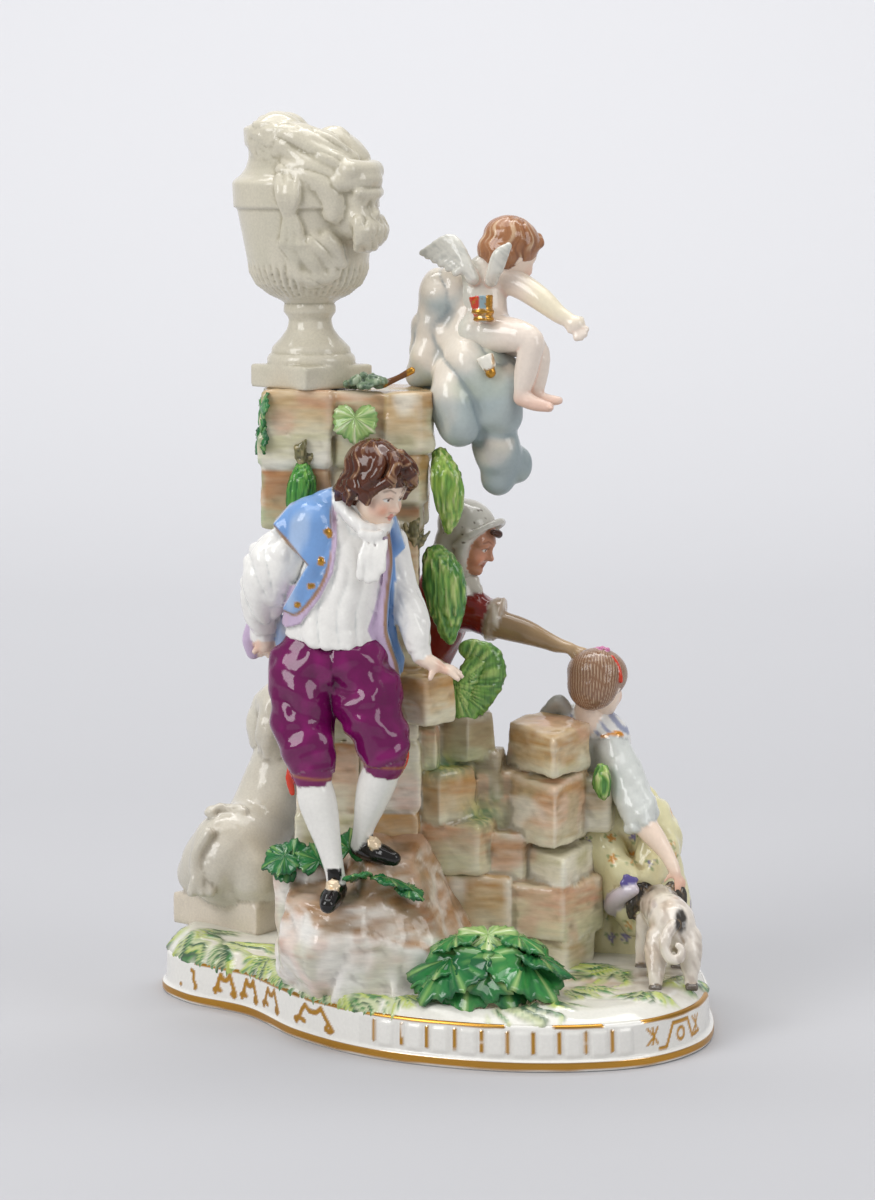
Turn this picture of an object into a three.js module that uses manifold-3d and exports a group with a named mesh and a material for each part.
import * as THREE from 'three';
import { mergeVertices } from 'three/addons/utils/BufferGeometryUtils.js';
import Module from 'manifold-3d';

// Porcelain figure group: a youth before a ruined wall, an old woman and a girl behind it, a dog,
// a small sphinx, a winged boy on a cloud and a broken urn, fired in one with their base.
// Millimetres, +Z up, origin under the middle of the base, the youth's side towards -Y.

const GROUP_HEIGHT = 300;
const BASE_RIM = 14;
const GROUND_RISE = 4;
const PIER_TOP = 210;
const PIER_WAIST = 150;
const PIER_FRONT = -13;
const PIER_BACK = 27;
const PIER_LEFT = -56;
const PIER_RIGHT = 1;
const URN_AXIS = [-40, 5];
const URN_PLINTH_SIDE = 28.5;
const URN_PLINTH_TURN = 41;
const URN_FOOT = 217.5;
const URN_BAND_RADIUS = 24;
const URN_FLUTES = 7;
const GLAZE_WHITE = 0xe9e6dd;

// The base has a swept front and a soft hollow at its left, so its outline is a closed curve.
const BASE_OUTLINE = [
  [-93, 37], [-84, 16], [-62, -3], [-43, -35], [-16, -60.5], [28, -76], [66, -70.5], [86, -50], [93, -20],
  [86, 30], [56, 64], [5, 79], [-45, 84], [-81, 71],
];

const wasm = await Module();
wasm.setup();

// A repeatable stand-in for chance, so that stones differ but every build is the same.
let chanceState = 11;
function chance(spread) {
  chanceState = (chanceState * 16807) % 2147483647;
  return (chanceState / 2147483647 - 0.5) * 2 * spread;
}

const radians = (degrees) => (degrees * Math.PI) / 180;

// A polygon of few sides lies inside its circle by about this share.
const chordShare = (sides) => (1 + Math.cos(Math.PI / sides)) / 2;

function moveVertices(geometry, place) {
  const position = geometry.attributes.position;
  const point = new THREE.Vector3();
  for (let i = 0; i < position.count; i += 1) {
    point.fromBufferAttribute(position, i);
    place(point, i);
    position.setXYZ(i, point.x, point.y, point.z);
  }
  return geometry;
}

// A rounded bar through stations [x, y, z, radius, depth share], its rings square to its path.
// folds deepens every second side, which draws drapery, strands or flutes along it.
function limb(stations, { sides = 6, folds = 0, facing = [0, 1, 0], tip = 0.6 } = {}) {
  const rows = stations.length + 1;
  const geometry = new THREE.SphereGeometry(1, sides, rows);
  const centres = stations.map(([x, y, z]) => new THREE.Vector3(x, y, z));
  const last = centres.length - 1;
  const reference = new THREE.Vector3(...facing);
  return moveVertices(geometry, (point, i) => {
    const row = Math.floor(i / (sides + 1));
    const column = (i % (sides + 1)) % sides;
    const at = Math.min(Math.max(row - 1, 0), last);
    const before = centres[Math.max(at - 1, 0)];
    const after = centres[Math.min(at + 1, last)];
    const along = after.clone().sub(before).normalize();
    const side = new THREE.Vector3().crossVectors(along, reference).normalize();
    const depth = new THREE.Vector3().crossVectors(side, along);
    const radius = stations[at][3];
    point.copy(centres[at]);
    if (row === 0) {
      point.addScaledVector(along, -radius * tip);
    } else if (row === rows) {
      point.addScaledVector(along, radius * tip);
    } else {
      const angle = (column / sides) * Math.PI * 2;
      const reach = (radius * (1 - folds * (column % 2))) / chordShare(sides);
      point.addScaledVector(side, reach * Math.cos(angle));
      point.addScaledVector(depth, reach * Math.sin(angle) * (stations[at][4] ?? 1));
    }
  });
}

function ball([x, y, z], [rx, ry, rz], { turn = [0, 0, 0], sides = 7, rows = 5 } = {}) {
  const geometry = new THREE.SphereGeometry(1 / chordShare(sides), sides, rows);
  geometry.rotateX(Math.PI / 2);
  geometry.scale(rx, ry, rz);
  geometry.rotateX(radians(turn[0]));
  geometry.rotateY(radians(turn[1]));
  geometry.rotateZ(radians(turn[2]));
  return geometry.translate(x, y, z);
}

// A hewn stone: a box with crowned faces and uneven corners.
function stone([x, y, z], [width, depth, height], turn = 0, { cuts = 1, rough = 0.6, undercut = 0 } = {}) {
  const geometry = new THREE.BoxGeometry(width, depth, height, cuts, cuts, cuts);
  geometry.deleteAttribute('normal');
  geometry.deleteAttribute('uv');
  const merged = mergeVertices(geometry, 0.01);
  moveVertices(merged, (point) => {
    const [u, v, w] = [(point.x * 2) / width, (point.y * 2) / depth, (point.z * 2) / height];
    const pull = cuts > 1 ? 0.05 * (Math.abs(u * v) + Math.abs(v * w) + Math.abs(w * u)) : 0.03;
    point.multiplyScalar(1 - pull);
    point.x += chance(rough) - (w < 0 ? undercut * u * 0.4 : 0);
    point.y += chance(rough) + (w < 0 && v < 0 ? undercut : 0);
    point.z += chance(rough * 0.5);
  });
  merged.rotateZ(radians(turn));
  return merged.translate(x, y, z);
}

// A row of stones from one plan point to another.
function course(from, to, bottom, top, count, depth, options) {
  const start = new THREE.Vector2(...from);
  const span = new THREE.Vector2(...to).sub(start);
  const width = span.length() / count;
  const turn = THREE.MathUtils.radToDeg(span.angle());
  const stones = [];
  for (let i = 0; i < count; i += 1) {
    const at = start.clone().addScaledVector(span, (i + 0.5) / count);
    const centre = [at.x, at.y, (bottom + top) / 2];
    stones.push(stone(centre, [width - 0.4, depth, top - bottom], turn, options));
  }
  return stones;
}

// A lobed leaf from its stem towards its tip, tilted and rolled, thin but solid.
function leaf([x, y, z], length, width, heading, pitch, roll = 0) {
  const shape = new THREE.Shape();
  const lobes = [[0.2, 0.5], [0.36, 0.26], [0.56, 0.4], [0.72, 0.16]];
  shape.moveTo(0, 0);
  lobes.forEach(([along, across]) => shape.lineTo(along * length, across * width));
  shape.lineTo(length, 0);
  [...lobes].reverse().forEach(([along, across]) => shape.lineTo(along * length, -across * width));
  const thickness = 1.6;
  const geometry = new THREE.ExtrudeGeometry(shape, { depth: thickness, bevelEnabled: false });
  geometry.translate(0, 0, -thickness / 2);
  geometry.rotateX(radians(roll));
  geometry.rotateY(radians(-pitch));
  geometry.rotateZ(radians(heading));
  return geometry.translate(x, y, z);
}

function turned(profile, sides, flute = () => 0) {
  const points = profile.map(([radius, height]) => new THREE.Vector2(radius, height));
  const geometry = new THREE.LatheGeometry(points, sides);
  geometry.rotateX(Math.PI / 2);
  return moveVertices(geometry, (point) => {
    const angle = Math.atan2(point.y, point.x);
    const share = 1 - flute(point.z, angle);
    point.x *= share;
    point.y *= share;
  });
}

// The ground swells gently from the rim and climbs towards the sphinx and the ruin.
function groundHeight(x, y) {
  const mound = (cx, cy, rx, ry, rise) => rise * Math.exp(-(((x - cx) / rx) ** 2) - ((y - cy) / ry) ** 2);
  return BASE_RIM + GROUND_RISE + mound(-76, 42, 30, 28, 5) + mound(10, 10, 50, 34, 5);
}

// Rings of one lattice carry the underside, the foot, the rim and the ground.
function base() {
  const outline = new THREE.CatmullRomCurve3(
    BASE_OUTLINE.map(([x, y]) => new THREE.Vector3(x, y, 0)), true, 'centripetal',
  );
  const sides = 28;
  const rings = [[1, 0], [1, 2.4], [0.985, 3.4], [0.978, BASE_RIM], [0.93, null], [0.62, null]];
  const geometry = new THREE.SphereGeometry(1, sides, rings.length + 1);
  const rows = rings.length + 1;
  return moveVertices(geometry, (point, i) => {
    const row = Math.floor(i / (sides + 1));
    const column = (i % (sides + 1)) % sides;
    if (row === 0) {
      point.set(0, 0, 0);
      return;
    }
    const [share, height] = row === rows ? [0, null] : rings[row - 1];
    const edge = outline.getPoint(column / sides);
    point.set(edge.x * share, edge.y * share, 0);
    const swell = Math.min(1, (0.978 - share) / 0.1);
    point.z = height ?? BASE_RIM + (groundHeight(point.x, point.y) - BASE_RIM) * swell;
  });
}

// The boulder that the youth stands on, stepped up towards his left foot.
function boulder() {
  return [
    stone([-25, -31, 31], [48, 36, 31], 4, { cuts: 2, rough: 1.4, undercut: 10 }),
    stone([-11, -27, 44], [30, 28, 31], 6, { rough: 1 }),
    stone([-39, -15, 38], [25, 22, 38], -8, { rough: 1 }),
    stone([2, -26, 28], [20, 26, 24], 20, { rough: 1, undercut: 5 }),
  ];
}

// The tall pier: an overhanging head of three courses on a narrower shaft.
function pier() {
  const bands = [[PIER_TOP - 12.5, PIER_TOP], [184.5, 197.5], [163.5, 184.5]];
  const middle = (PIER_FRONT + PIER_BACK) / 2;
  const depth = PIER_BACK - PIER_FRONT;
  const pieces = [core([(PIER_LEFT + PIER_RIGHT) / 2, middle, 187], [51, 35, 44])];
  bands.forEach(([bottom, top], i) => {
    const shift = (i % 2) * 1.5;
    const [from, to] = [[PIER_LEFT - shift, middle], [PIER_RIGHT + shift, middle]];
    pieces.push(...course(from, to, bottom, top, 3 - (i % 2), depth));
  });
  const shaftCourse = 27;
  for (let bottom = 17; bottom < PIER_WAIST; bottom += shaftCourse) {
    const left = -46 + chance(1.5);
    const right = -2 + chance(1.5) - Math.max(0, bottom - 110) * 0.05;
    pieces.push(...course([left, 4], [right, 4], bottom, bottom + shaftCourse - 1, 1, 42, { rough: 1 }));
  }
  return pieces;
}

// The broken wall that steps down from the pier to a corner in front of the girl.
function lowWall() {
  const corner = 45;
  const blocks = [
    [[-2.7, -20, 111.5], [18.5, 20, 19], 5],
    [[-3, -13, 96], [13, 17, 14], 4],
    [[11, -3, 99], [18, 18, 19], 20],
    [[3.3, -1, 79], [21, 22, 20.5], 8],
    [[21, 5, 80], [20, 20, 24], 30],
    [[39, -3, 91], [20.5, 20.5, 14.5], corner],
    [[40, -5.5, 69.5], [18.6, 18.6, 17.5], corner],
    [[53, 9, 74.5], [15, 16, 17.5], 60],
    [[43, -4, 53], [20, 22, 11], 42],
    [[29, 6, 57], [16, 18, 16], corner],
    [[7.5, 8, 61], [22.5, 22, 19], 14],
    [[41.5, -1, 38.5], [19.5, 26, 19.5], corner],
    [[16, 5, 43], [25, 26, 19], 20],
    [[42.5, 1, 23], [17.5, 22, 13], corner],
    [[18, 4, 26], [28, 26, 18], 24],
    [[50, 9, 42], [13, 18, 44], 60],
  ];
  return blocks.map(([centre, size, turn]) => stone(centre, size, turn));
}

// The urn stands cornerwise on the pier; its neck is broken, and cloth hangs from the break.
function urn() {
  const [x, y] = URN_AXIS;
  const profile = [
    [0, URN_FOOT - 1], [14, URN_FOOT - 1], [13, URN_FOOT + 5], [8.4, 228], [6.9, 232], [8.6, 236.5],
    [13, 240.4], [18.9, 247], [20.9, 257], [22.7, 268], [URN_BAND_RADIUS, 269], [URN_BAND_RADIUS, 276.6],
    [18.6, 279.6], [19.5, 288], [19.5, 292.6], [0, 290],
  ];
  const flute = (height, angle) => {
    const breaks = height > 290 ? 0.05 * Math.sin(angle * 5) : 0;
    const inBowl = height > 239 && height < 250;
    return breaks + (inBowl ? 0.03 * (1 - Math.cos(angle * URN_FLUTES)) : 0);
  };
  const vessel = turned(profile, URN_FLUTES * 2, flute).translate(x, y, 0);
  const plinth = core([x, y, 214], [URN_PLINTH_SIDE, URN_PLINTH_SIDE, 8], URN_PLINTH_TURN);
  const mask = [x + 14, y - 15];
  const features = [
    ball([mask[0], mask[1], 269], [8.4, 8.4, 11], { turn: [0, 0, 40] }),
    ball([mask[0] + 5.4, mask[1] - 6, 269], [2.6, 2.6, 4], { sides: 5, rows: 4 }),
    limb([[mask[0] - 2, mask[1] - 7, 275.5, 2.6], [mask[0] + 5, mask[1] - 5, 276, 3],
      [mask[0] + 9, mask[1] + 1, 276, 2.4]], { sides: 5 }),
    limb([[mask[0] - 3, mask[1] - 1, 248, 2], [mask[0] + 1, mask[1] - 3, 255, 4.6],
      [mask[0] + 4, mask[1] - 4, 262, 5.5]], { folds: 0.15 }),
  ];
  const cloth = [
    limb([[x - 12, y - 12, 291, 4], [x - 3, y - 13, 294, 3.8], [x + 7, y - 11, 290, 4.6],
      [x + 15, y - 6, 284, 5.5]], { folds: 0.12 }),
    limb([[x - 6.5, y - 20, 261, 2], [x - 6, y - 21, 270, 3.8], [x - 3, y - 18, 281, 2.6]], { sides: 5 }),
    ball([x - 8, y - 4, 292], [8, 10, GROUP_HEIGHT - 292], { sides: 5, rows: 4 }),
  ];
  return [plinth, vessel, ...features, ...cloth];
}

function cloud() {
  const lobes = [
    [3.5, 8, 232, 10.5], [13, 4, 217, 14.6], [7.5, -5, 201.5, 9], [21, -2, 206, 10], [21.5, 0, 190, 8.6],
    [26.5, 2.5, 182.5, 6.4], [14, 10, 226, 12.5], [13, 6, 203, 10],
  ];
  return lobes.map(([x, y, z, radius]) => ball([x, y, z], [radius, radius, radius * 1.12], { rows: 4 }));
}

// The winged boy sits on the cloud with his back to us and points down to his left.
function wing(root, heading, tilt, length) {
  const shape = new THREE.Shape();
  shape.moveTo(0, -3);
  shape.quadraticCurveTo(length * 0.2, 5, length * 0.55, 6.5);
  shape.quadraticCurveTo(length * 0.9, 6.5, length, 1.5);
  shape.lineTo(length * 0.8, 1.8);
  shape.lineTo(length * 0.76, -1);
  shape.lineTo(length * 0.55, -0.5);
  shape.lineTo(length * 0.5, -3.6);
  shape.lineTo(length * 0.26, -2.8);
  shape.closePath();
  const geometry = new THREE.ExtrudeGeometry(shape, { depth: 2, bevelEnabled: false, curveSegments: 2 });
  geometry.translate(0, 0, -1);
  geometry.rotateX(radians(90));
  geometry.rotateY(radians(-tilt));
  geometry.rotateZ(radians(heading));
  return geometry.translate(...root);
}

function wingedBoy() {
  const head = [25, 5, 256];
  const pieces = [
    limb([[18, 0, 225, 9.4, 0.85], [16.5, 2.5, 235, 8.6, 0.85], [16, 4, 244, 8.6, 0.75],
      [19, 4.5, 250, 4.5]], { sides: 8 }),
    ball(head, [9, 9.2, 9.8], { turn: [0, 25, 0] }),
    limb([[23, 3, 246, 4.6], [33, -2, 240, 4.2], [39, -6, 234.5, 3.2], [43.5, -8, 231.5, 2.5],
      [48, -9.5, 229, 3]]),
    limb([[11, 6, 245, 4.4], [4, 11, 240, 4], [3, 13, 232, 3.2]], { sides: 4 }),
    limb([[20, -6, 227, 6], [32.5, -12, 225, 4.8], [30.5, -12, 217, 4], [29, -12, 209, 2.8]]),
    limb([[29, -12, 206.5, 2.8], [39, -16.5, 204.5, 1.9]], { sides: 4 }),
    limb([[22, 4, 226, 5.6], [34, 0, 222, 4.6], [33, -1, 207, 2.8]], { sides: 4 }),
    wing([12, 7, 246], 172, 30, 17),
    wing([20, 5, 246], 20, 62, 14),
    limb([[18.5, -12.5, 213, 2.6], [17, -10, 230, 3.8], [16, -9.5, 239, 4.4]], { sides: 5, tip: 0.2 }),
  ];
  return [...pieces, ...locks([head[0] - 1, head[1], head[2] + 1], [7.4, 7.4, 8], 4, 4.8)];
}

// Locks of hair round the back and top of a head.
function locks([x, y, z], [rx, ry, rz], count, size, turns = 2.6) {
  const pieces = [];
  for (let i = 0; i < count; i += 1) {
    const climb = i / (count - 1);
    const angle = i * turns;
    const reach = Math.cos(climb * Math.PI * 0.45);
    const centre = [
      x + rx * reach * Math.cos(angle), y + ry * reach * Math.sin(angle), z + rz * Math.sin(climb * 1.5),
    ];
    const lock = new THREE.IcosahedronGeometry(size, 0);
    lock.rotateZ(i);
    pieces.push(lock.translate(...centre));
  }
  return pieces;
}

// The youth leans on the wall: white shirt, sleeveless coat, full breeches, stockings, buckled shoes.
function youth() {
  const head = [-17.5, -33.5, 180];
  const trunk = [
    limb([[-32.5, -31.5, 110, 14.5, 0.66], [-32.5, -31.5, 120, 18.6, 0.6], [-31.5, -32, 130, 15.8, 0.64],
      [-28.5, -31.5, 144, 14.8, 0.66], [-26, -30, 158, 14, 0.6], [-24, -30, 168, 6], [-21, -31.5, 174, 5]],
    { sides: 8, folds: 0.04 }),
    limb([[-31, -24.5, 129, 17, 0.5], [-29, -25, 146, 19, 0.56], [-28, -25, 162, 20, 0.42],
      [-26, -25.5, 170, 10, 0.5]]),
    limb([[-46, -34, 140.5, 4, 0.5], [-42, -37.5, 150, 8, 0.5], [-38.5, -36, 167, 7, 0.5]]),
    limb([[-10.5, -21, 113, 2.4, 1.4], [-13, -25, 128, 4.6, 1], [-13.5, -28, 150, 4.8, 1]], { sides: 5 }),
    limb([[-21.5, -41, 151, 2.4], [-20.8, -40, 160, 4], [-19.5, -37.5, 170, 3.6]], { sides: 5 }),
  ];
  const legs = [
    limb([[-40.5, -31.5, 120, 11], [-41.5, -35.5, 108, 10.4], [-39.2, -39, 96, 8.8], [-38, -41, 88.5, 6.8],
      [-38, -41, 87, 5.6], [-36.4, -41.4, 79, 6.5], [-33.6, -43, 68.5, 4.6], [-31, -44.5, 57, 3.3]]),
    limb([[-23.5, -31.5, 120, 11], [-19.6, -36, 109, 10.6], [-16, -40, 98.5, 9], [-15, -40.5, 93.5, 7],
      [-15.2, -40, 92, 6], [-17.8, -38, 85, 6.6], [-20.6, -36.5, 76.5, 5], [-22.6, -35.5, 66, 3.6]]),
    limb([[-30, -42, 54, 3.2], [-31.3, -48, 52, 4], [-32.4, -56, 49, 2.9]]),
    limb([[-23.5, -34, 63.5, 3.2], [-18.5, -37.5, 62.5, 4], [-11.5, -41.5, 61.2, 2.5]]),
  ];
  const arms = [
    limb([[-43, -28.5, 163, 6.6], [-49.5, -28, 154.5, 7.8], [-53.5, -25.5, 142, 7],
      [-53.5, -20.5, 132, 4.3], [-52.5, -18, 125, 3.6]], { sides: 7 }),
    limb([[-12, -27, 161, 5.2], [-9.4, -27.5, 147, 5.2], [-5.8, -30, 135, 5.4], [-3.8, -32.5, 127, 3.3],
      [4, -32.8, 122.8, 2.6]]),
  ];
  const face = [
    ball(head, [8.8, 9.4, 11.4], { turn: [-14, 8, 35], sides: 8 }),
    limb([[head[0] + 5.8, head[1] - 6.6, head[2] + 2, 0.9], [head[0] + 7, head[1] - 8, head[2] - 2.6, 1.5]],
      { sides: 4 }),
  ];
  const hair = [
    ball([head[0] - 2, head[1] + 2, head[2] + 4.5], [11.6, 11.6, 10.8], { sides: 8, rows: 5 }),
    ...locks([head[0] - 2.5, head[1] + 2.5, head[2]], [10.4, 10.4, 12.4], 7, 5.4),
  ];
  return [...trunk, ...legs, ...arms, ...face, ...hair];
}

// The old woman stands behind the pier, leans out past it and reaches over to the girl.
function oldWoman() {
  const head = [14, 26, 160];
  return [
    limb([[-8, 44, 16, 24, 0.85], [-8, 43, 60, 18.5, 0.85], [-6.5, 40, 100, 12.5, 0.85],
      [-4.5, 38, 114, 10.4, 0.85], [1, 34.5, 130, 11.8, 0.8], [9, 29, 149, 8, 0.75]],
    { sides: 8, folds: 0.09, tip: 0 }),
    ball(head, [8, 8.6, 9.6], { turn: [0, 22, 0], sides: 7, rows: 5 }),
    limb([[5, 31, 152, 7], [9, 29, 160, 10.4], [13, 27, 167, 9.2]], { sides: 8, tip: 0.35 }),
    limb([[10, 27, 141, 7.6], [22, 21, 133, 7], [25, 20, 131.8, 5], [34, 18, 128, 3.8],
      [44, 16.5, 123.8, 2.8], [52.5, 15, 119, 2.6]]),
    limb([[-9, 36, 142, 6], [-16, 38, 129, 5.4], [-12, 30, 115, 4]], { sides: 4 }),
  ];
}

// The girl sits behind the low wall and lets one hand hang towards the dog.
function girl() {
  const head = [56, 13, 110];
  return [
    ball(head, [9.9, 10, 10.8], { turn: [0, 14, 0] }),
    ball([head[0] + 3, head[1] - 1, head[2] + 9.4], [5.4, 4.4, 3], { turn: [0, 24, 0], sides: 5, rows: 4 }),
    limb([[57, 19, 56, 10, 0.9], [57, 18, 70, 9, 0.85], [56, 17, 84, 11, 0.8], [55, 15.5, 94, 9, 0.75],
      [54, 13.5, 101, 5]], { sides: 8 }),
    limb([[48, 15, 98, 3.4], [44.5, 14, 93, 4.4], [47, 18, 80, 5]], { sides: 5 }),
    limb([[60, 11, 90, 6.6], [65, 4, 78, 7.2], [69, -2, 65.5, 6.6], [71.5, -5, 60.5, 3.8],
      [77.5, -10.5, 53, 2.8], [81, -14, 46.5, 2]]),
    limb([[58, 20, 66, 10], [63.5, 21, 55, 18, 0.9], [65.5, 23, 16, 20, 0.95]],
      { sides: 8, folds: 0.1, tip: 0 }),
    limb([[60, 18, 56, 10], [72, 13, 60, 11.5], [74, 3, 47, 8.5], [70, -4, 38, 6]], { folds: 0.1 }),
    limb([[60, 2, 40, 5], [62, -5, 43.5, 4.6], [67, -10, 42.5, 3.4]], { sides: 5 }),
  ];
}

function dog() {
  const pieces = [
    limb([[76, -32, 33, 6.6], [76, -27, 36.5, 8.6], [75.4, -12, 38.8, 7.6], [75, -1, 41, 5.4]],
      { sides: 7, facing: [0, 0, 1] }),
    ball([75, 1, 42], [5.6, 6, 5.2], { sides: 6, rows: 4 }),
    limb([[75.6, -36, 35, 2.2], [73.5, -38.5, 30.5, 1.9], [78, -38.5, 29, 1.5]], { sides: 4 }),
  ];
  [69.4, 80.8].forEach((x) => pieces.push(ball([x, -1, 42.5], [1.6, 2, 3.4], { sides: 4, rows: 3 })));
  [[71.2, -31, -37], [80.4, -31, -37], [71.2, -7, -9], [79.6, -7, -9]].forEach(([x, hip, paw]) => {
    pieces.push(limb([[x + (75.6 - x) * 0.3, hip, 31, 5], [x, paw, 17, 2.8]], { sides: 4 }));
  });
  return pieces;
}

// A small recumbent sphinx of worn stone on its own slab, seen from behind.
function sphinx() {
  const heading = 53;
  return [
    core([-63, 51.5, 24], [40, 38.5, 14], heading),
    limb([[-73, 33, 42, 9.5], [-68, 40, 48, 15.2], [-61.5, 48.5, 52, 14], [-57, 55, 62, 12.6],
      [-54, 58.5, 74, 10.8], [-53, 59, 84, 8.4]], { sides: 7, facing: [1, -0.7, 0] }),
    ball([-53, 58, 93], [8.4, 8.4, 9], { sides: 7, rows: 5 }),
    ...locks([-54, 56, 84], [7.6, 7.6, 13], 3, 5.4),
    limb([[-57, 29, 35, 6.5], [-46, 44, 34, 4.6]], { sides: 5 }),
    limb([[-81, 46, 35, 6.5], [-70, 61, 34, 4.6]], { sides: 5 }),
    limb([[-47, 56, 58, 5.6], [-39, 59, 35, 4.6]], { sides: 5 }),
    limb([[-61, 66, 58, 5.6], [-55, 71, 35, 4.6]], { sides: 5 }),
    limb([[-76, 28, 56, 2.6], [-82, 28, 44, 2.4], [-80, 28, 36, 4]], { sides: 5 }),
  ];
}

// Vine leaves, hanging strands and moss.
function foliage() {
  const spray = {
    centre: [17, -50], leaves: 5, bottom: 23.5, lift: 5, length: 20, width: 24, reach: 6, pitch: -20,
  };
  const [x, y] = spray.centre;
  const pieces = [ball([x, y, spray.bottom], [7, 6, 8], { sides: 5, rows: 3 })];
  for (let i = 0; i < spray.leaves; i += 1) {
    const heading = -178 + (176 * i) / (spray.leaves - 1);
    const stem = [
      x + spray.reach * Math.cos(radians(heading)),
      y + spray.reach * Math.sin(radians(heading)),
      spray.bottom + (i % 2) * spray.lift,
    ];
    pieces.push(leaf(stem, spray.length, spray.width, heading, spray.pitch));
  }
  const sprigs = [
    [-42, -28, 50, 200, 20], [-13, -42, 53, -25, -20], [-26, -13, 203, -90, -80], [-55, -9, 206, -120, -75],
  ];
  sprigs.forEach(([u, v, w, heading, pitch]) => pieces.push(leaf([u, v, w], 15, 14, heading, pitch, 20)));
  const strands = [
    [[-43, -14, 186, 3], [-43, -16, 179, 5.2], [-44, -15, 167, 4]],
    [[3, -6, 188, 3.6], [5.5, -8, 180, 5.8], [6.5, -8, 165, 3.6]],
    [[4, -3, 155, 4.4], [5, -4, 146, 7.4], [6.5, -4, 130, 4]],
    [[19, 0, 125, 3.4], [13, -3, 122, 6.2], [10.5, -6, 107, 3.4]],
    [[58, -1, 88, 2.6], [59, -2, 80, 3.6]],
  ];
  strands.forEach((stations) => pieces.push(limb(stations, { folds: 0.14 })));
  pieces.push(ball([-22, -8, 212], [6.5, 4.5, 4.4], { sides: 5, rows: 4 }));
  pieces.push(limb([[-16, -6, 212, 1.3], [-7, -4, 216, 1.3]], { sides: 4 }));
  return pieces;
}

function core([x, y, z], [width, depth, height], turn = 0) {
  const geometry = new THREE.BoxGeometry(width, depth, height);
  geometry.rotateZ(radians(turn));
  return geometry.translate(x, y, z);
}

// Mortar behind the stones, which shows only as the joints between them.
function mortar() {
  return [
    core([-10, 12, 47], [56, 30, 76]),
    core([36, 5, 46], [17, 17, 80], 45),
    core([2, 3, 98], [14, 16, 40]),
    core([-24, 5, 92], [34, 34, 150]),
    core([-30, -18, 118], [16, 14, 36]),
  ];
}

function toSolid(geometry) {
  geometry.deleteAttribute('normal');
  geometry.deleteAttribute('uv');
  const merged = mergeVertices(geometry, 1e-3);
  const corners = Uint32Array.from(merged.index.array);
  if (signedVolume(merged) < 0) {
    corners.reverse();
  }
  const vertProperties = Float32Array.from(merged.attributes.position.array);
  return new wasm.Manifold(new wasm.Mesh({ numProp: 3, vertProperties, triVerts: corners }));
}

// Negative where a shape's faces are wound inwards.
function signedVolume(geometry) {
  const { position } = geometry.attributes;
  const [a, b, c] = [new THREE.Vector3(), new THREE.Vector3(), new THREE.Vector3()];
  let sum = 0;
  for (let i = 0; i < geometry.index.count; i += 3) {
    a.fromBufferAttribute(position, geometry.index.getX(i));
    b.fromBufferAttribute(position, geometry.index.getX(i + 1));
    c.fromBufferAttribute(position, geometry.index.getX(i + 2));
    sum += a.dot(b.cross(c)) / 6;
  }
  return sum;
}

// All shapes are joined into one skin; closed pockets inside it are filled.
function joined(geometries) {
  const whole = geometries.map(toSolid).reduce((sum, solid) => sum.add(solid));
  const bodies = whole.decompose().sort((a, b) => b.volume() - a.volume());
  const mesh = bodies[0].getMesh();
  const geometry = new THREE.BufferGeometry();
  geometry.setAttribute('position', new THREE.BufferAttribute(new Float32Array(mesh.vertProperties), 3));
  geometry.setIndex(new THREE.BufferAttribute(new Uint32Array(mesh.triVerts), 1));
  geometry.computeVertexNormals();
  return geometry;
}

const works = [
  base(), ...boulder(), ...pier(), ...lowWall(), ...urn(), ...cloud(), ...wingedBoy(), ...youth(),
  ...oldWoman(), ...girl(), ...dog(), ...sphinx(), ...foliage(), ...mortar(),
];

const figureGroup = new THREE.Mesh(
  joined(works),
  new THREE.MeshStandardMaterial({ color: GLAZE_WHITE, roughness: 0.15, metalness: 0 }),
);
figureGroup.name = 'figure_group';

const object = new THREE.Group();
object.add(figureGroup);
export default object;
